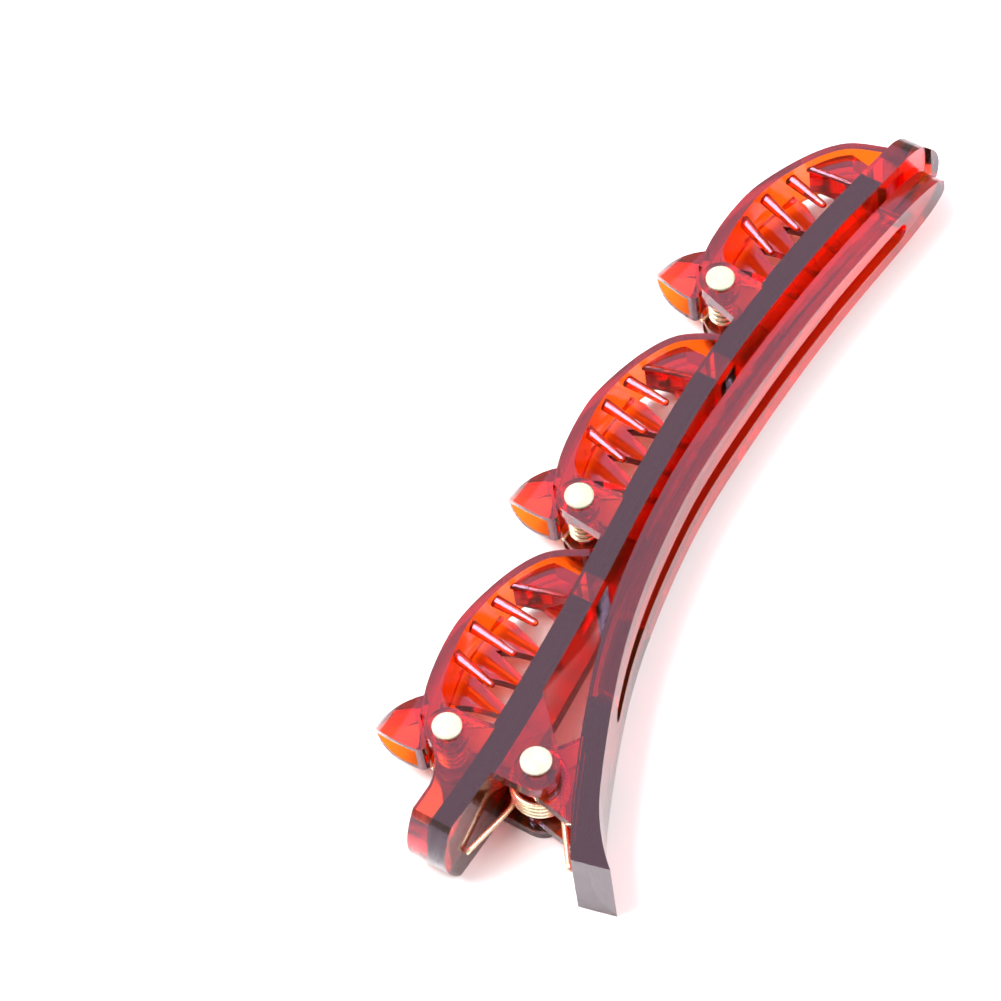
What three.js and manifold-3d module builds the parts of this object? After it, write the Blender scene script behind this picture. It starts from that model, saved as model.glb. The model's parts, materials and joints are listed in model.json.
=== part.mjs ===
// A sectioning clip for salon work: two long curved jaws on a sprung hinge, and three small
// sprung claws riding on the back of the upper jaw. Millimetres, +Z up.
//
// The clip lies on its side. Drawings are made in the X-Y plane about the main rivet (the
// origin): +X runs towards the tips, +Y towards the small claws, and Z = 0 is the middle of the
// width. The last step puts the whole clip on the floor, centred on its bounding box.

import * as THREE from 'three';
import { mergeVertices } from 'three/addons/utils/BufferGeometryUtils.js';
import Module from 'manifold-3d';

const manifold = await Module();
manifold.setup();

// ---------------------------------------------------------------- driving dimensions

const bodyWidth = 12.4;
const halfWidth = bodyWidth / 2;
const clearance = 0.3;
const runningFit = 0.08;

const jawThickness = 3.2;
const outerLugThickness = 1.8;
const innerLugThickness = 1.5;

const upperTipX = 107;
const lowerTipX = 104.2;
const trayEndX = -15.2;

const mainPinRadius = 1.1;
const mainHeadRadius = 2.0;
const clawPinRadius = 0.9;
const clawHeadRadius = 1.9;
const headHeight = 0.7;
const capThickness = 0.7;
const roundSides = 20;

const clawSpacing = 36.4;
const firstClawX = -0.8;
const clawRise = 4.9;
const clawReach = 31;
const clawNoseDown = 0.09;
const clawCount = 3;

const mainWireRadius = 0.35;
const mainCoilRadius = 3.5;
const clawWireRadius = 0.25;
const clawCoilRadius = 1.75;

// Depths across the width, measured from the middle plane.
const outerLugInside = halfWidth - outerLugThickness;
const innerLugOutside = outerLugInside - clearance;
const innerLugInside = innerLugOutside - innerLugThickness;
const clawHalfWidth = outerLugInside - clearance;
const cheekInside = clawHalfWidth - 1.3;

// ---------------------------------------------------------------- solid helpers

function toManifold(geometry) {
  const bare = geometry.index ? geometry.toNonIndexed() : geometry.clone();
  bare.deleteAttribute('normal');
  bare.deleteAttribute('uv');
  const merged = mergeVertices(bare, 1e-4);
  return new manifold.Manifold(new manifold.Mesh({
    numProp: 3,
    vertProperties: new Float32Array(merged.attributes.position.array),
    triVerts: new Uint32Array(merged.index.array),
  }));
}

function toGeometry(solid) {
  const mesh = solid.getMesh();
  const geometry = new THREE.BufferGeometry();
  geometry.setAttribute('position', new THREE.BufferAttribute(mesh.vertProperties, 3));
  geometry.setIndex(new THREE.BufferAttribute(mesh.triVerts, 1));
  geometry.computeVertexNormals();
  return geometry;
}

function union(...solids) {
  return solids.reduce((sum, solid) => sum.add(solid));
}

// A closed outline in X-Y, extruded from one depth to another.
function slab(outline, fromZ, toZ, roundSegments = 12) {
  const shape = outline instanceof THREE.Shape ? outline : new THREE.Shape(outline);
  const geometry = new THREE.ExtrudeGeometry(shape, {
    depth: toZ - fromZ,
    bevelEnabled: false,
    curveSegments: roundSegments,
  });
  geometry.translate(0, 0, fromZ);
  return toManifold(geometry);
}

// The same outline on both sides of the middle plane.
function mirroredSlabs(outline, insideZ, outsideZ) {
  return union(slab(outline, insideZ, outsideZ), slab(outline, -outsideZ, -insideZ));
}

// A closed outline drawn in X-Z, cut straight through everything along Y.
function planColumn(outline) {
  const reach = 60;
  const geometry = new THREE.ExtrudeGeometry(outline, {
    depth: 2 * reach,
    bevelEnabled: false,
    curveSegments: 16,
  });
  geometry.rotateX(Math.PI / 2);
  geometry.translate(0, reach, 0);
  return toManifold(geometry);
}

function rod(radius, fromZ, toZ, x = 0, y = 0, sides = 24) {
  const geometry = new THREE.CylinderGeometry(radius, radius, toZ - fromZ, sides);
  geometry.rotateX(Math.PI / 2);
  geometry.translate(x, y, (fromZ + toZ) / 2);
  return toManifold(geometry);
}

function vec(x, y) {
  return new THREE.Vector2(x, y);
}

// ---------------------------------------------------------------- jaw centre lines

const upperLine = new THREE.SplineCurve([
  vec(trayEndX, 5.8), vec(0, 5.7), vec(20, 7.2), vec(40, 9.6),
  vec(62, 11.0), vec(85, 9.7), vec(upperTipX, 6.2),
]);
const lowerLine = new THREE.SplineCurve([
  vec(-9.4, -13.6), vec(0, -7.3), vec(20, 1.0), vec(40, 5.3),
  vec(58, 6.3), vec(80, 5.6), vec(lowerTipX, 3.0),
]);

function normalAt(line, t) {
  const tangent = line.getTangent(t);
  return vec(-tangent.y, tangent.x);
}

function offsetPoint(line, t, distance) {
  return line.getPoint(t).addScaledVector(normalAt(line, t), distance);
}

// The curve parameter where a jaw line passes a given x.
function parameterAtX(line, x) {
  let low = 0;
  let high = 1;
  for (let step = 0; step < 40; step += 1) {
    const middle = (low + high) / 2;
    if (line.getPoint(middle).x < x) low = middle;
    else high = middle;
  }
  return (low + high) / 2;
}

// The outline of a plate that follows a line, between two offsets from it.
function plateOutline(line, below, above, steps = 72) {
  const lowerSide = [];
  const upperSide = [];
  for (let step = 0; step <= steps; step += 1) {
    lowerSide.push(offsetPoint(line, step / steps, below));
    upperSide.push(offsetPoint(line, step / steps, above));
  }
  return [...lowerSide, ...upperSide.reverse()];
}

function backSurfaceAt(x) {
  return offsetPoint(upperLine, parameterAtX(upperLine, x), jawThickness / 2);
}

// Each small claw turns about a pin held above the back of the upper jaw, and lies along it.
const clawFrames = Array.from({ length: clawCount }, (_, index) => {
  const foot = backSurfaceAt(firstClawX + index * clawSpacing);
  const ahead = backSurfaceAt(foot.x + clawReach);
  const slope = Math.atan2(ahead.y - foot.y, ahead.x - foot.x);
  const up = vec(-Math.sin(slope), Math.cos(slope));
  const pin = foot.clone().addScaledVector(up, clawRise);
  return { pin, angle: slope - clawNoseDown };
});

function placeOnFrame(solid, frame) {
  return solid
    .rotate([0, 0, THREE.MathUtils.radToDeg(frame.angle)])
    .translate([frame.pin.x, frame.pin.y, 0]);
}

// ---------------------------------------------------------------- upper jaw

// Seen along Y: a tray with a bowed end, straight sides and a round tip.
function upperPlan() {
  const traySide = trayEndX + 2.4;
  const cornerStart = upperTipX - 5;
  const cornerPull = 3;
  const plan = new THREE.Shape();
  plan.moveTo(traySide, -halfWidth);
  plan.quadraticCurveTo(trayEndX - 2.4, 0, traySide, halfWidth);
  plan.lineTo(cornerStart, halfWidth);
  plan.bezierCurveTo(cornerStart + cornerPull, halfWidth, upperTipX, cornerPull, upperTipX, 0);
  plan.bezierCurveTo(upperTipX, -cornerPull, cornerStart + cornerPull, -halfWidth,
    cornerStart, -halfWidth);
  plan.closePath();
  return plan;
}

// A pair of upright tabs beside a claw pin, round at the top and rooted in the jaw.
function clawLugs(frame) {
  const tab = new THREE.Shape();
  const half = 2.8;
  tab.moveTo(-half - 0.5, -clawRise - 1);
  tab.lineTo(half + 0.7, -clawRise - 1);
  tab.quadraticCurveTo(half, -clawRise + 1.6, half, 0);
  tab.absarc(0, 0, half, 0, Math.PI, false);
  tab.closePath();
  return placeOnFrame(mirroredSlabs(tab, outerLugInside, halfWidth), frame);
}

function buildUpperJaw() {
  const trayFloor = 7.2;
  const trayRim = 9.7;
  const wall = 1.7;
  const trayRoot = clawFrames[0].pin.x + 3.4;

  const plate = slab(plateOutline(upperLine, -jawThickness / 2, jawThickness / 2),
    -halfWidth, halfWidth);

  // The tray: side walls that rise into the first pair of claw lugs, and a bowed end wall.
  const wallOutline = new THREE.Shape();
  wallOutline.moveTo(trayEndX - 1, 5);
  wallOutline.lineTo(trayRoot, 6);
  wallOutline.quadraticCurveTo(trayRoot - 3, 11.5, clawFrames[0].pin.x, 13.4);
  wallOutline.lineTo(clawFrames[0].pin.x - 2.4, 13.2);
  wallOutline.quadraticCurveTo(clawFrames[0].pin.x - 5, trayRim + 0.3, -9.2, trayRim);
  wallOutline.lineTo(trayEndX - 1, trayRim);
  wallOutline.closePath();
  const sides = mirroredSlabs(wallOutline, outerLugInside, halfWidth);
  const endBlock = slab([
    vec(trayEndX - 1, 4.3), vec(-10.5, 4.3), vec(-10.5, trayRim), vec(trayEndX - 1, trayRim),
  ], -halfWidth, halfWidth);
  const hollow = slab([
    vec(trayEndX + 2.2, trayFloor), vec(-9, trayFloor),
    vec(-9, trayRim + 1), vec(trayEndX + 2.2, trayRim + 1),
  ], -halfWidth + wall, halfWidth - wall);

  // Rounded triangular lugs that carry the main rivet outside the lower jaw's lugs.
  const hingeLug = new THREE.Shape();
  hingeLug.moveTo(-3.8, 5);
  hingeLug.lineTo(-3.8, -0.6);
  hingeLug.quadraticCurveTo(-3.6, -2.9, -1.4, -3.3);
  hingeLug.quadraticCurveTo(0.6, -3.4, 2.6, -1.6);
  hingeLug.lineTo(9.2, 5);
  hingeLug.closePath();
  const hingeLugs = mirroredSlabs(hingeLug, outerLugInside, halfWidth);

  // The tip turns down to meet the lower jaw.
  const lip = slab([
    vec(upperTipX - 2.4, 5.8), vec(upperTipX - 1.6, 4.2), vec(upperTipX + 0.4, 3.8),
    vec(upperTipX + 0.4, 5.8),
  ], -halfWidth, halfWidth);

  let jaw = union(plate, sides, endBlock.subtract(hollow), hingeLugs, lip,
    ...clawFrames.map(clawLugs));

  // One window under the tip of each claw.
  const windowHalfWidth = halfWidth - 2;
  for (const frame of clawFrames) {
    const x = frame.pin.x + clawReach - 6.6;
    jaw = jaw.subtract(slab([vec(x, 0), vec(x + 3.6, 0), vec(x + 3.6, 20), vec(x, 20)],
      -windowHalfWidth, windowHalfWidth));
    jaw = jaw.subtract(rod(clawPinRadius + runningFit, -halfWidth - 1, halfWidth + 1,
      frame.pin.x, frame.pin.y));
    jaw = jaw.subtract(rod(clawHeadRadius + clearance / 2, -halfWidth - 1,
      -halfWidth + capThickness + clearance / 2, frame.pin.x, frame.pin.y));
  }
  jaw = jaw.subtract(rod(mainPinRadius + runningFit, -halfWidth - 1, halfWidth + 1));
  jaw = jaw.subtract(rod(mainHeadRadius + clearance / 2, -halfWidth - 1,
    -halfWidth + capThickness + clearance / 2));
  return jaw.intersect(planColumn(upperPlan()));
}

// ---------------------------------------------------------------- lower jaw

// Seen along Y: full width at the hinge, tapering to a narrow round tip.
function lowerPlan() {
  const thumbEnd = -2;
  const taperStart = 28;
  const tipHalf = 3.6;
  const plan = new THREE.Shape();
  plan.moveTo(thumbEnd, -halfWidth);
  plan.lineTo(thumbEnd, halfWidth);
  plan.lineTo(taperStart, halfWidth);
  plan.lineTo(lowerTipX - 14, tipHalf + 0.4);
  plan.bezierCurveTo(lowerTipX - 3, tipHalf, lowerTipX, tipHalf - 1.4, lowerTipX, 0);
  plan.bezierCurveTo(lowerTipX, 1.4 - tipHalf, lowerTipX - 3, -tipHalf,
    lowerTipX - 14, -tipHalf - 0.4);
  plan.lineTo(taperStart, -halfWidth);
  plan.closePath();
  return plan;
}

function buildLowerJaw() {
  const slotHalfWidth = 1.5;
  const slotStart = 14;
  const slotEnd = 94;

  const plate = slab(plateOutline(lowerLine, -jawThickness / 2, jawThickness / 2),
    -halfWidth, halfWidth).intersect(planColumn(lowerPlan()));

  // The handle thickens to a pad for the thumb, cut square to the length of the clip.
  const pad = new THREE.Shape();
  pad.moveTo(0, -5.5);
  pad.quadraticCurveTo(-4.5, -7.6, -9.3, -10.7);
  pad.lineTo(-8.1, -15.6);
  pad.quadraticCurveTo(-4.8, -11.7, 0, -9.1);
  pad.closePath();
  const handle = slab(pad, -halfWidth, halfWidth);

  const bossRadius = 2.9;
  const lug = new THREE.Shape();
  lug.moveTo(-4.6, -9.2);
  lug.lineTo(9, -3.4);
  lug.quadraticCurveTo(3.6, -0.8, bossRadius * Math.cos(0.5), bossRadius * Math.sin(0.5));
  lug.absarc(0, 0, bossRadius, 0.5, Math.PI + 0.2, false);
  lug.closePath();
  const lugs = mirroredSlabs(lug, innerLugInside, innerLugOutside);

  const slot = new THREE.Shape();
  slot.moveTo(slotStart, -slotHalfWidth);
  slot.lineTo(slotEnd, -slotHalfWidth);
  slot.absarc(slotEnd, 0, slotHalfWidth, -Math.PI / 2, Math.PI / 2, false);
  slot.lineTo(slotStart, slotHalfWidth);
  slot.absarc(slotStart, 0, slotHalfWidth, Math.PI / 2, 1.5 * Math.PI, false);

  return union(plate, handle, lugs)
    .subtract(planColumn(slot))
    .subtract(rod(mainPinRadius + runningFit, -halfWidth, halfWidth));
}

// ---------------------------------------------------------------- small claw

const fingerCount = 3;
const firstFingerX = 9.5;
const fingerPitch = 5.1;
const fingerRootRadius = 0.9;
const fingerTipRadius = 0.5;
const firstSpikeX = 8.7;
const spikePitch = 4.6;
const spikeHalfThickness = 0.75;
const toothRows = 2.35;
const earHalfWidth = 2.55;
const earTop = 10.2;
const earWall = 0.7;

// The arched back of the claw, from the pin to the tip.
const shellLine = new THREE.SplineCurve([
  vec(1.2, 3.7), vec(5.6, 5.6), vec(11, 6.9), vec(16, 7.2), vec(22.8, 5.9),
  vec(28, 3.3), vec(31, -1.2),
]);

function shellOutline(steps = 36) {
  const inner = [];
  const outer = [];
  for (let step = 0; step <= steps; step += 1) {
    const t = step / steps;
    const half = THREE.MathUtils.lerp(1.15, 0.5, Math.min(1, t * 1.6));
    inner.push(offsetPoint(shellLine, t, -half));
    outer.push(offsetPoint(shellLine, t, half));
  }
  return [...inner, ...outer.reverse()];
}

// A finger hanging from the shell, tapering to a round tip.
function finger(root, tip, rootRadius = fingerRootRadius) {
  const length = root.distanceTo(tip);
  const roundness = 0.7 * fingerTipRadius;
  const profile = [
    vec(0, -fingerTipRadius), vec(roundness, -roundness), vec(fingerTipRadius, 0),
    vec(rootRadius, length), vec(0, length),
  ];
  const geometry = new THREE.LatheGeometry(profile, 10);
  geometry.rotateZ(Math.atan2(root.y - tip.y, root.x - tip.x) - Math.PI / 2);
  geometry.translate(tip.x, tip.y, toothRows);
  return toManifold(geometry);
}

// How far below the pin a tooth at this distance may reach before it meets the jaw.
function toothLimit(x) {
  const surfaceBulge = 0.5;
  const gap = 0.5;
  return -clawRise + x * clawNoseDown + surfaceBulge + gap;
}

// A flat pointed tooth; neighbours meet near the shell and leave a V between them.
function spike(x) {
  const half = spikePitch / 2 + 0.05;
  const rootY = 3.8;
  const point = toothLimit(x);
  const outline = new THREE.Shape();
  outline.moveTo(x - half, 6);
  outline.lineTo(x - half, rootY);
  outline.quadraticCurveTo(x - 0.9, 1.9, x - 0.55, point + 0.7);
  outline.quadraticCurveTo(x, point - 0.6, x + 0.55, point + 0.7);
  outline.lineTo(x + half, rootY);
  outline.lineTo(x + half, 6);
  outline.closePath();
  return slab(outline, -toothRows - spikeHalfThickness, -toothRows + spikeHalfThickness, 5);
}

// The thumb tab: a hollow scoop, open behind, with a pointed arch for its free edge.
function buildEar() {
  const outer = new THREE.Shape();
  outer.moveTo(4.4, 6);
  outer.quadraticCurveTo(0.6, 10.2, -2.1, earTop);
  outer.quadraticCurveTo(-3.7, 7.4, -3.0, 3.0);
  outer.quadraticCurveTo(-2.9, 2.3, -2.1, 2.2);
  outer.quadraticCurveTo(-0.6, 3.4, 1.6, 3.0);
  outer.closePath();
  const inner = new THREE.Shape();
  inner.moveTo(-6, 3.3);
  inner.lineTo(-2.2, 3.3);
  inner.quadraticCurveTo(0.4, 4.4, 1.6, 6.6);
  inner.quadraticCurveTo(-0.2, earTop - 1.2, -2.4, earTop - earWall);
  inner.lineTo(-6, earTop - earWall);
  inner.closePath();
  return slab(outer, -earHalfWidth, earHalfWidth)
    .intersect(archColumn(earHalfWidth, earTop))
    .subtract(slab(inner, -earHalfWidth, earHalfWidth)
      .intersect(archColumn(earHalfWidth - earWall, earTop - earWall)));
}

// A pointed arch seen along X, run through everything beside the pin.
function archColumn(archHalfWidth, top) {
  const shoulder = top - 3.9;
  const arch = new THREE.Shape();
  arch.moveTo(-archHalfWidth, 0);
  arch.lineTo(archHalfWidth, 0);
  arch.lineTo(archHalfWidth, shoulder);
  arch.quadraticCurveTo(archHalfWidth - 0.3, top - 1.1, 0, top + 0.1);
  arch.quadraticCurveTo(0.3 - archHalfWidth, top - 1.1, -archHalfWidth, shoulder);
  arch.closePath();
  const geometry = new THREE.ExtrudeGeometry(arch, {
    depth: 14,
    bevelEnabled: false,
    curveSegments: 8,
  });
  geometry.rotateY(Math.PI / 2);
  geometry.translate(-8, 0, 0);
  return toManifold(geometry);
}

function buildClaw() {
  const shell = slab(shellOutline(), -clawHalfWidth, clawHalfWidth);

  // Cheeks beside the pin, with the spring between them.
  const cheekRadius = 2.5;
  const cheek = new THREE.Shape();
  cheek.absarc(0, 0, cheekRadius, Math.PI - 0.3, 2 * Math.PI, false);
  cheek.quadraticCurveTo(3, 3, 6.2, 5.2);
  cheek.lineTo(1.4, 4.4);
  cheek.quadraticCurveTo(-1.2, 3.6, -cheekRadius * Math.cos(0.3), cheekRadius * Math.sin(0.3));
  const cheeks = mirroredSlabs(cheek, cheekInside, clawHalfWidth);

  // A web that closes the tip, edged by a last finger, and the wider foot under it.
  const webEnd = 28.2;
  const webBack = [vec(webEnd, toothLimit(webEnd)), vec(webEnd, 2.9), vec(25.8, 4.8)];
  const web = slab([vec(22.7, 5.9), vec(24.9, toothLimit(24.9)), ...webBack],
    -toothRows, toothRows + 0.4);
  const foot = slab([vec(24.2, 5.2), vec(24.2, 2.6), vec(23.2, toothLimit(23.2)), ...webBack],
    -toothRows - spikeHalfThickness, -toothRows + spikeHalfThickness);
  const lastFinger = finger(vec(22.9, 5.6), vec(24.8, -1.0), fingerTipRadius);

  const fingers = [];
  const spikes = [];
  for (let index = 0; index < fingerCount; index += 1) {
    const tipX = firstFingerX + index * fingerPitch;
    const rootX = tipX + 1.45 - index * 0.55;
    const root = offsetPoint(shellLine, parameterAtX(shellLine, rootX), -0.1);
    fingers.push(finger(root, vec(tipX, 0)));
    spikes.push(spike(firstSpikeX + index * spikePitch));
  }

  return union(shell, cheeks, buildEar(), web, foot, lastFinger, ...fingers, ...spikes)
    .subtract(rod(clawPinRadius + runningFit, -clawHalfWidth - 1, clawHalfWidth + 1));
}

// ---------------------------------------------------------------- rivets

function rivet(pinRadius, headRadius) {
  const farEnd = -halfWidth + 0.05;
  const headFrom = halfWidth + 0.05;
  const profile = [vec(0, farEnd), vec(pinRadius, farEnd), vec(pinRadius, headFrom)];
  const rimHeight = 0.35;
  const domeSteps = 3;
  profile.push(vec(headRadius, headFrom));
  for (let step = 0; step <= domeSteps; step += 1) {
    const angle = (step / domeSteps) * (Math.PI / 2);
    profile.push(vec(
      headRadius * Math.cos(angle),
      headFrom + rimHeight + (headHeight - rimHeight) * Math.sin(angle),
    ));
  }
  profile[profile.length - 1].x = 0;
  const geometry = new THREE.LatheGeometry(profile, roundSides);
  geometry.rotateX(Math.PI / 2);
  return geometry;
}

// A ring pressed on the far end of the rivet, flush with the side of the clip.
function rivetCap(pinRadius, headRadius) {
  const inside = pinRadius + 0.02;
  const outerZ = -halfWidth;
  const innerZ = outerZ + capThickness;
  const chamfer = 0.15;
  const profile = [
    vec(inside, outerZ), vec(headRadius - chamfer, outerZ), vec(headRadius, outerZ + chamfer),
    vec(headRadius, innerZ), vec(inside, innerZ), vec(inside, outerZ),
  ];
  const geometry = new THREE.LatheGeometry(profile, roundSides);
  geometry.rotateX(Math.PI / 2);
  return geometry;
}

// ---------------------------------------------------------------- springs

function wireTube(points, wireRadius, segments, sides) {
  const path = new THREE.CatmullRomCurve3(points, false, 'centripetal');
  const section = new THREE.Shape();
  for (let side = 0; side < sides; side += 1) {
    const angle = (side / sides) * 2 * Math.PI;
    const x = wireRadius * Math.cos(angle);
    const y = wireRadius * Math.sin(angle);
    if (side === 0) section.moveTo(x, y);
    else section.lineTo(x, y);
  }
  section.closePath();
  return new THREE.ExtrudeGeometry(section, {
    steps: segments,
    extrudePath: path,
    bevelEnabled: false,
  });
}

// A coil about the Z axis between two depths, with a straight leg off each end.
// The coil winds clockwise from one angle, through whole turns, on to the other angle.
function torsionSpring({ coilRadius, wireRadius, wholeTurns, halfLength, angles, legs, sides }) {
  const perTurn = 12;
  const sweep = angles[0] - angles[1] + wholeTurns * 2 * Math.PI;
  const count = Math.round(sweep / (2 * Math.PI) * perTurn);
  const points = [legs[0]];
  for (let step = 0; step <= count; step += 1) {
    const fraction = step / count;
    const angle = angles[0] - fraction * sweep;
    points.push(new THREE.Vector3(
      coilRadius * Math.cos(angle),
      coilRadius * Math.sin(angle),
      THREE.MathUtils.lerp(-halfLength, halfLength, fraction),
    ));
  }
  points.push(legs[1]);
  return wireTube(points, wireRadius, count + 8, sides);
}

// ---------------------------------------------------------------- assembly

const tortoise = { color: 0xd8380e, roughness: 0.18, metalness: 0 };
const pearl = { color: 0xf4f0dc, roughness: 0.3, metalness: 0 };
const gold = { color: 0xd9c489, roughness: 0.25, metalness: 1 };

const clip = new THREE.Group();
clip.name = 'sectioning_clip';

function addPiece(name, geometry, look) {
  const mesh = new THREE.Mesh(geometry, new THREE.MeshStandardMaterial(look));
  mesh.name = name;
  clip.add(mesh);
  return mesh;
}

function onFrame(geometry, frame) {
  geometry.rotateZ(frame.angle);
  geometry.translate(frame.pin.x, frame.pin.y, 0);
  return geometry;
}

addPiece('upper_jaw', toGeometry(buildUpperJaw()), tortoise);
addPiece('lower_jaw', toGeometry(buildLowerJaw()), tortoise);

const claw = buildClaw();
clawFrames.forEach((frame, index) => {
  addPiece(`claw_${index + 1}`, toGeometry(placeOnFrame(claw, frame)), tortoise);
});

addPiece('main_rivet', rivet(mainPinRadius, mainHeadRadius), pearl);
addPiece('main_rivet_cap', rivetCap(mainPinRadius, mainHeadRadius), pearl);
clawFrames.forEach((frame, index) => {
  addPiece(`claw_rivet_${index + 1}`,
    onFrame(rivet(clawPinRadius, clawHeadRadius), frame), pearl);
  addPiece(`claw_rivet_cap_${index + 1}`,
    onFrame(rivetCap(clawPinRadius, clawHeadRadius), frame), pearl);
});

const coilHalf = innerLugInside - clearance - mainWireRadius;
addPiece('main_spring', torsionSpring({
  coilRadius: mainCoilRadius,
  wireRadius: mainWireRadius,
  wholeTurns: 4,
  halfLength: coilHalf,
  angles: [2.5, -1.7],
  legs: [new THREE.Vector3(-11.6, 3.72, -coilHalf), new THREE.Vector3(-9.0, -9.95, coilHalf)],
  sides: 8,
}), gold);

const clawCoilHalf = cheekInside - clearance - clawWireRadius;
clawFrames.forEach((frame, index) => {
  const geometry = torsionSpring({
    coilRadius: clawCoilRadius,
    wireRadius: clawWireRadius,
    wholeTurns: 4,
    halfLength: clawCoilHalf,
    angles: [1.75, 0.56],
    legs: [new THREE.Vector3(-2.4, 1.7, -clawCoilHalf), new THREE.Vector3(4.6, -4.05, clawCoilHalf)],
    sides: 5,
  });
  addPiece(`claw_spring_${index + 1}`, onFrame(geometry, frame), gold);
});

// Stand the clip on the floor, centred.
const bounds = new THREE.Box3().setFromObject(clip);
const centre = bounds.getCenter(new THREE.Vector3());
clip.traverse((piece) => {
  if (piece.isMesh) piece.geometry.translate(-centre.x, -centre.y, -bounds.min.z);
});

export default clip;
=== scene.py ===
"""Looks of the sectioning clip: translucent tortoise plastic, cream rivets, pale gold springs."""

import json
import math

import bmesh
import bpy
from mathutils import Matrix, Quaternion, Vector


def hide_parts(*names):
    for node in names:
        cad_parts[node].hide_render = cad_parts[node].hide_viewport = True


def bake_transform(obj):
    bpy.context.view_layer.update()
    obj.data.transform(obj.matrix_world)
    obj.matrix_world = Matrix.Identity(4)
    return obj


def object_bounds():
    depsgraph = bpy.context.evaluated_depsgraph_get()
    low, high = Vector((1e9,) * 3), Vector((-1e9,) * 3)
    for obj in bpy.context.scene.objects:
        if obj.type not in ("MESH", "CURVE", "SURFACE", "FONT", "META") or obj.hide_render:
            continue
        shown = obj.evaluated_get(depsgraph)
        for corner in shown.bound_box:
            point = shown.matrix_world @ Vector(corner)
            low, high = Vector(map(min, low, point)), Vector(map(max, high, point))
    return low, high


MM = 0.001

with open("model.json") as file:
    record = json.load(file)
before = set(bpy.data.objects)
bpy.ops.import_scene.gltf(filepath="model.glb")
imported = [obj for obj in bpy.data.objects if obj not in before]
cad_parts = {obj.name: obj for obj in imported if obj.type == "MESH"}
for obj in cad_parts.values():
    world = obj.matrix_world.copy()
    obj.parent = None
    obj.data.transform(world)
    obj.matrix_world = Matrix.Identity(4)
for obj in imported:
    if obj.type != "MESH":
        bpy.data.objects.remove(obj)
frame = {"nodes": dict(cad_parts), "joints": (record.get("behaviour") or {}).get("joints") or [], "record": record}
cad_low, cad_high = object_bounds()
nodes = frame["nodes"]


# ---------------------------------------------------------------- materials


def new_material(name):
    """A node material with a Principled surface, and what is needed to wire it."""
    material = bpy.data.materials.new(name)
    material.use_nodes = True
    tree = material.node_tree
    return material, tree, tree.nodes["Principled BSDF"]


def add_node(tree, kind, **inputs):
    node = tree.nodes.new(kind)
    for socket, value in inputs.items():
        node.inputs[socket].default_value = value
    return node


def noise(tree, scale, detail=3.0, stretch=(1, 1, 1)):
    """Noise over the piece's own coordinates, in features per metre, stretched along an axis."""
    coordinates = tree.nodes.new("ShaderNodeTexCoord")
    mapping = add_node(tree, "ShaderNodeMapping", Scale=stretch)
    texture = add_node(tree, "ShaderNodeTexNoise", Scale=scale, Detail=detail)
    tree.links.new(coordinates.outputs["Object"], mapping.inputs["Vector"])
    tree.links.new(mapping.outputs["Vector"], texture.inputs["Vector"])
    return texture.outputs["Fac"]


def ramp(tree, source, *stops):
    """A colour ramp through (position, colour) stops."""
    node = tree.nodes.new("ShaderNodeValToRGB")
    elements = node.color_ramp.elements
    while len(elements) < len(stops):
        elements.new(0.5)
    for element, (position, colour) in zip(elements, stops):
        element.position = position
        element.color = (*colour, 1)
    tree.links.new(source, node.inputs["Fac"])
    return node.outputs["Color"]


def spread(tree, source, low, high):
    """Noise turned into a value between two limits."""
    node = add_node(tree, "ShaderNodeMapRange")
    node.inputs["To Min"].default_value = low
    node.inputs["To Max"].default_value = high
    tree.links.new(source, node.inputs["Value"])
    return node.outputs["Result"]


def bump(tree, shader, source, height, strength=0.3):
    node = add_node(tree, "ShaderNodeBump", Strength=strength, Distance=height)
    tree.links.new(source, node.inputs["Height"])
    tree.links.new(node.outputs["Normal"], shader.inputs["Normal"])


def make_tortoise():
    """Clear red moulding: orange where it is thin, red where thick, nearly black edge-on."""
    material, tree, shader = new_material("tortoise_plastic")
    cloud = noise(tree, 90, detail=4, stretch=(0.5, 1, 1))
    tint = ramp(tree, cloud, (0.3, (1.0, 0.46, 0.12)), (0.7, (1.0, 0.52, 0.15)))
    tree.links.new(tint, shader.inputs["Base Color"])
    tree.links.new(spread(tree, noise(tree, 700), 0.05, 0.11), shader.inputs["Roughness"])
    bump(tree, shader, noise(tree, 160, detail=1), 0.04 * MM, 0.03)
    shader.inputs["IOR"].default_value = 1.5
    shader.inputs["Specular Tint"].default_value = (0.86, 0.52, 1.0, 1)
    shader.inputs["Coat Weight"].default_value = 0.6
    shader.inputs["Coat Roughness"].default_value = 0.12
    shader.inputs["Transmission Weight"].default_value = 0.98
    depth = add_node(tree, "ShaderNodeVolumeAbsorption", Density=2600.0)
    depth.inputs["Color"].default_value = (0.955, 0.54, 0.03, 1)
    tree.links.new(depth.outputs["Volume"], tree.nodes["Material Output"].inputs["Volume"])
    return material


def make_pearl():
    material, tree, shader = new_material("pearl_plastic")
    cloud = noise(tree, 500)
    tint = ramp(tree, cloud, (0.3, (0.46, 0.45, 0.33)), (0.7, (0.52, 0.51, 0.41)))
    tree.links.new(tint, shader.inputs["Base Color"])
    tree.links.new(spread(tree, noise(tree, 1500), 0.2, 0.34), shader.inputs["Roughness"])
    bump(tree, shader, noise(tree, 1400), 0.03 * MM, 0.2)
    shader.inputs["Subsurface Weight"].default_value = 0.15
    shader.inputs["Subsurface Radius"].default_value = (1.2 * MM, 1.0 * MM, 0.6 * MM)
    shader.inputs["Subsurface Scale"].default_value = 1.0
    return material


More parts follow.
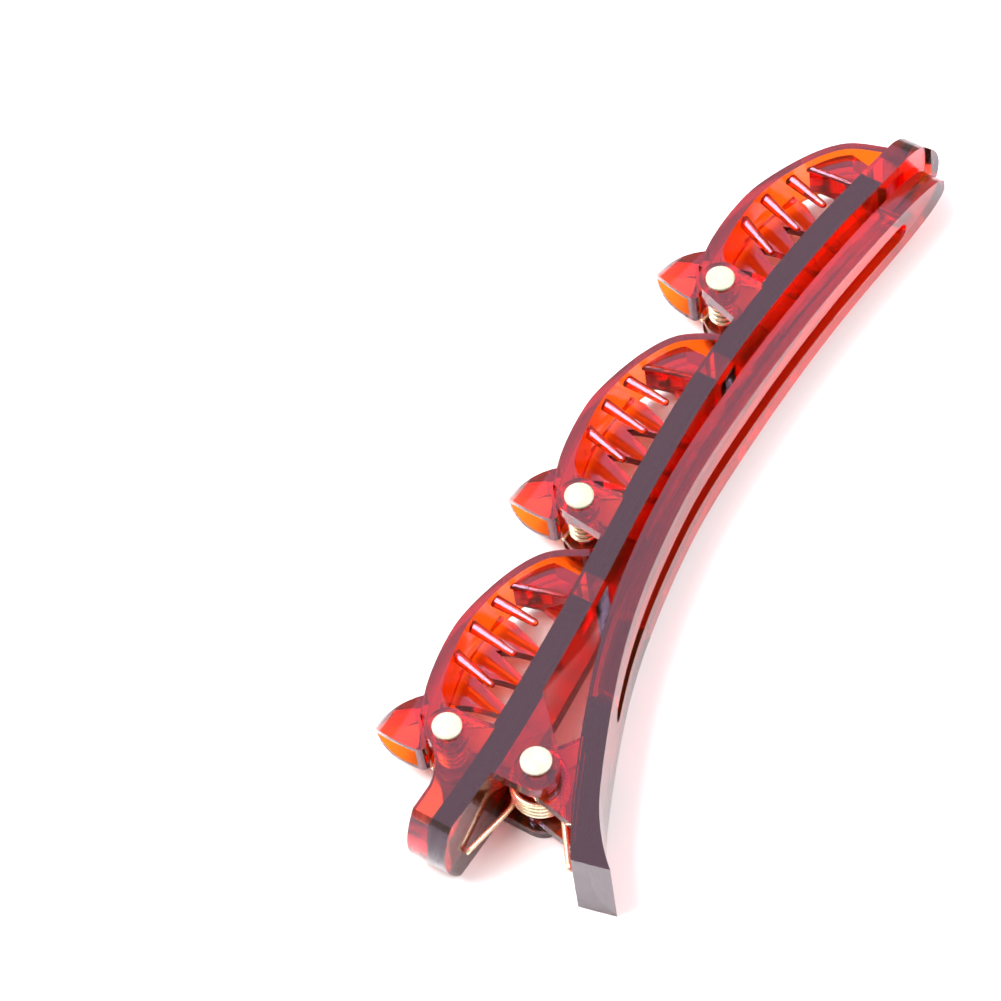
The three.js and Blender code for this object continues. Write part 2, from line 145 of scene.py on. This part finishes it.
def make_gold():
    material, tree, shader = new_material("gold_wire")
    cloud = noise(tree, 900, stretch=(1, 1, 0.3))
    tint = ramp(tree, cloud, (0.3, (0.90, 0.78, 0.50)), (0.7, (0.98, 0.88, 0.64)))
    tree.links.new(tint, shader.inputs["Base Color"])
    tree.links.new(spread(tree, noise(tree, 2600), 0.18, 0.34), shader.inputs["Roughness"])
    bump(tree, shader, noise(tree, 4000), 0.01 * MM, 0.25)
    shader.inputs["Metallic"].default_value = 0.75
    return material


looks = {
    "tortoise_plastic": make_tortoise(),
    "pearl_plastic": make_pearl(),
    "gold_wire": make_gold(),
}
for part in frame["record"]["subparts"]:
    piece = nodes[part["node"]]
    piece.data.materials.clear()
    piece.data.materials.append(looks[part["material_slot"]])


# ---------------------------------------------------------------- moulded edges


def smooth_shading():
    """A node group that shades every face smooth."""
    group = bpy.data.node_groups.new("smooth_shading", "GeometryNodeTree")
    group.interface.new_socket("Geometry", in_out="INPUT", socket_type="NodeSocketGeometry")
    group.interface.new_socket("Geometry", in_out="OUTPUT", socket_type="NodeSocketGeometry")
    start = group.nodes.new("NodeGroupInput")
    smooth = group.nodes.new("GeometryNodeSetShadeSmooth")
    end = group.nodes.new("NodeGroupOutput")
    group.links.new(start.outputs[0], smooth.inputs["Geometry"])
    group.links.new(smooth.outputs["Geometry"], end.inputs[0])
    return group


EDGE_RADIUS = 0.16 * MM
shade_smooth = smooth_shading()


def round_edges(piece):
    """Every edge of a moulding takes a small radius, and its curved walls run smooth."""
    piece.modifiers.new("join", "WELD").merge_threshold = 0.002 * MM
    flatten = piece.modifiers.new("flatten", "DECIMATE")
    flatten.decimate_type = "DISSOLVE"
    flatten.angle_limit = math.radians(0.5)
    edge = piece.modifiers.new("edge", "BEVEL")
    edge.width = EDGE_RADIUS
    edge.segments = 2
    edge.limit_method = "ANGLE"
    edge.angle_limit = math.radians(28)
    piece.modifiers.new("shade", "NODES").node_group = shade_smooth
    piece.modifiers.new("walls", "WEIGHTED_NORMAL").weight = 90


for name in ("upper_jaw", "lower_jaw", "claw_1", "claw_2", "claw_3"):
    round_edges(nodes[name])


# ---------------------------------------------------------------- springs

# Each spring is wound here as round wire. On the clip its two legs press on two bodies: its low leg
# on one body of the hinge and its high leg on the other. Sizes are in millimetres and angles in
# radians, and a path is drawn about its hinge.
WIRE_SIDES = 14
POINTS_PER_TURN = 40
POINTS_PER_LEG = 12
BEND_SOFTENING = 3
COIL_TURNS = 4


def hinge_point(name):
    joint = next(joint for joint in frame["joints"] if joint["name"] == name)
    return Vector(joint["pos_m"])


def spring_path(radius, half_length, angles, legs):
    """About the origin: a leg, a coil wound clockwise between two angles, and the other leg."""
    sweep = angles[0] - angles[1] + COIL_TURNS * 2 * math.pi
    count = round(sweep / (2 * math.pi) * POINTS_PER_TURN)
    coil = []
    for step in range(count + 1):
        angle = angles[0] - sweep * step / count
        height = half_length * (2 * step / count - 1)
        coil.append(Vector((radius * math.cos(angle), radius * math.sin(angle), height)))
    first = Vector((*legs[0], -half_length))
    last = Vector((*legs[1], half_length))
    path = [first.lerp(coil[0], step / POINTS_PER_LEG) for step in range(POINTS_PER_LEG)]
    path += coil
    path += [coil[-1].lerp(last, (step + 1) / POINTS_PER_LEG) for step in range(POINTS_PER_LEG)]
    for _ in range(BEND_SOFTENING):
        middle = [(a + 2 * b + c) / 4 for a, b, c in zip(path, path[1:], path[2:])]
        path = [path[0], *middle, path[-1]]
    return path


def wire_piece(name, path, radius):
    """A round wire swept along the path, closed at both ends."""
    shape = bmesh.new()
    rings = []
    for index, point in enumerate(path):
        ahead = path[min(index + 1, len(path) - 1)] - path[max(index - 1, 0)]
        side = ahead.cross(Vector((0, 0, 1))).normalized()
        up = side.cross(ahead).normalized()
        ring = []
        for step in range(WIRE_SIDES):
            angle = 2 * math.pi * step / WIRE_SIDES
            offset = side * math.cos(angle) + up * math.sin(angle)
            ring.append(shape.verts.new(point + offset * radius))
        rings.append(ring)
    for ring, following in zip(rings, rings[1:]):
        for step in range(WIRE_SIDES):
            after = (step + 1) % WIRE_SIDES
            shape.faces.new((ring[step], ring[after], following[after], following[step]))
    shape.faces.new(rings[0][::-1])
    shape.faces.new(rings[-1])
    bmesh.ops.recalc_face_normals(shape, faces=shape.faces)
    mesh = bpy.data.meshes.new(name)
    shape.to_mesh(mesh)
    shape.free()
    mesh.polygons.foreach_set("use_smooth", [True] * len(mesh.polygons))
    piece = bpy.data.objects.new(name, mesh)
    bpy.context.collection.objects.link(piece)
    piece.data.materials.append(looks["gold_wire"])
    return piece


def add_spring(name, hinge, tilt, wire, path):
    """Set a spring on its hinge, in place of the CAD node of the same name."""
    axis = hinge_point(hinge)
    turn = Matrix.Rotation(tilt, 3, "Z")
    points = [axis + turn @ point * MM for point in path]
    piece = wire_piece(f"{name}_wire", points, wire * MM)
    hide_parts(name)
    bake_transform(piece)


MAIN_WIRE = 0.35
CLAW_WIRE = 0.25
# How far each claw leans from the length of the clip, as the back of the jaw curves.
CLAW_TILTS = (-0.0007, -0.0313, -0.2135)

main_path = spring_path(
    radius=3.5, half_length=1.95, angles=(2.5, -1.7), legs=((-11.6, 3.72), (-9.0, -9.95)))
claw_path = spring_path(
    radius=1.75, half_length=2.25, angles=(1.75, 0.56), legs=((-2.4, 1.7), (4.6, -4.05)))

add_spring("main_spring", "main_hinge", 0, MAIN_WIRE, main_path)
for number, tilt in enumerate(CLAW_TILTS, start=1):
    add_spring(f"claw_spring_{number}", f"claw_hinge_{number}", tilt, CLAW_WIRE, claw_path)


# ---------------------------------------------------------------- stage, light and camera


def make_floor():
    bpy.ops.mesh.primitive_plane_add(size=6, location=(0, 0, 0))
    floor = bpy.context.object
    floor.name = "floor"
    material, tree, shader = new_material("paper")
    shader.inputs["Base Color"].default_value = (0.93, 0.93, 0.93, 1)
    shader.inputs["Roughness"].default_value = 0.9
    floor.data.materials.append(material)


SOFTBOX_DISTANCE = 1.2
SOFTBOX_SIZE = 0.7


def add_softbox(name, azimuth, elevation, power, colour=(1, 1, 1)):
    """A square lamp on a sphere about the clip, turned to face it."""
    data = bpy.data.lights.new(name, "AREA")
    data.size = SOFTBOX_SIZE
    data.energy = power
    data.color = colour
    lamp = bpy.data.objects.new(name, data)
    bpy.context.collection.objects.link(lamp)
    back = direction_from(azimuth, elevation)
    lamp.location = back * SOFTBOX_DISTANCE
    lamp.rotation_mode = "QUATERNION"
    lamp.rotation_quaternion = (-back).to_track_quat("-Z", "Y")


def direction_from(azimuth, elevation):
    """The way from the clip to something seen at this azimuth and elevation, in degrees."""
    a, e = math.radians(azimuth), math.radians(elevation)
    return Vector((math.sin(a) * math.cos(e), -math.cos(a) * math.cos(e), math.sin(e)))


VIEW_AZIMUTH = -49.5
VIEW_ELEVATION = 57.1
VIEW_ROLL = -9.6
LENS = 149.7
DISTANCE = 0.527
# Where the camera aims, in lengths of the clip from the middle of its box.
AIM_X = -0.135
AIM_Y = 0.1453


def make_camera():
    """The clip lies to the right of the picture's centre, so the camera aims beside it."""
    length = cad_high.x - cad_low.x
    aim = Vector((AIM_X * length, AIM_Y * length, cad_high.z))
    data = bpy.data.cameras.new("camera")
    data.lens = LENS
    data.sensor_width = 36
    data.clip_start = 0.05
    data.clip_end = 20
    camera = bpy.data.objects.new("camera", data)
    bpy.context.collection.objects.link(camera)
    back = direction_from(VIEW_AZIMUTH, VIEW_ELEVATION)
    camera.location = aim + back * DISTANCE
    camera.rotation_mode = "QUATERNION"
    roll = Quaternion((0, 0, 1), math.radians(VIEW_ROLL))
    camera.rotation_quaternion = (-back).to_track_quat("-Z", "Y") @ roll
    bpy.context.scene.camera = camera


make_floor()
world = bpy.data.worlds.new("studio")
world.use_nodes = True
sky = world.node_tree.nodes["Background"]
sky.inputs["Color"].default_value = (1.0, 0.98, 0.99, 1)
sky.inputs["Strength"].default_value = 0.55
bpy.context.scene.world = world
bpy.context.scene.view_settings.view_transform = "Standard"
add_softbox("key", -150, 60, power=24)
add_softbox("fill", 25, 50, power=10)
add_softbox("glaze", 130, 57, power=1.6, colour=(0.90, 0.74, 1.0))
make_camera()
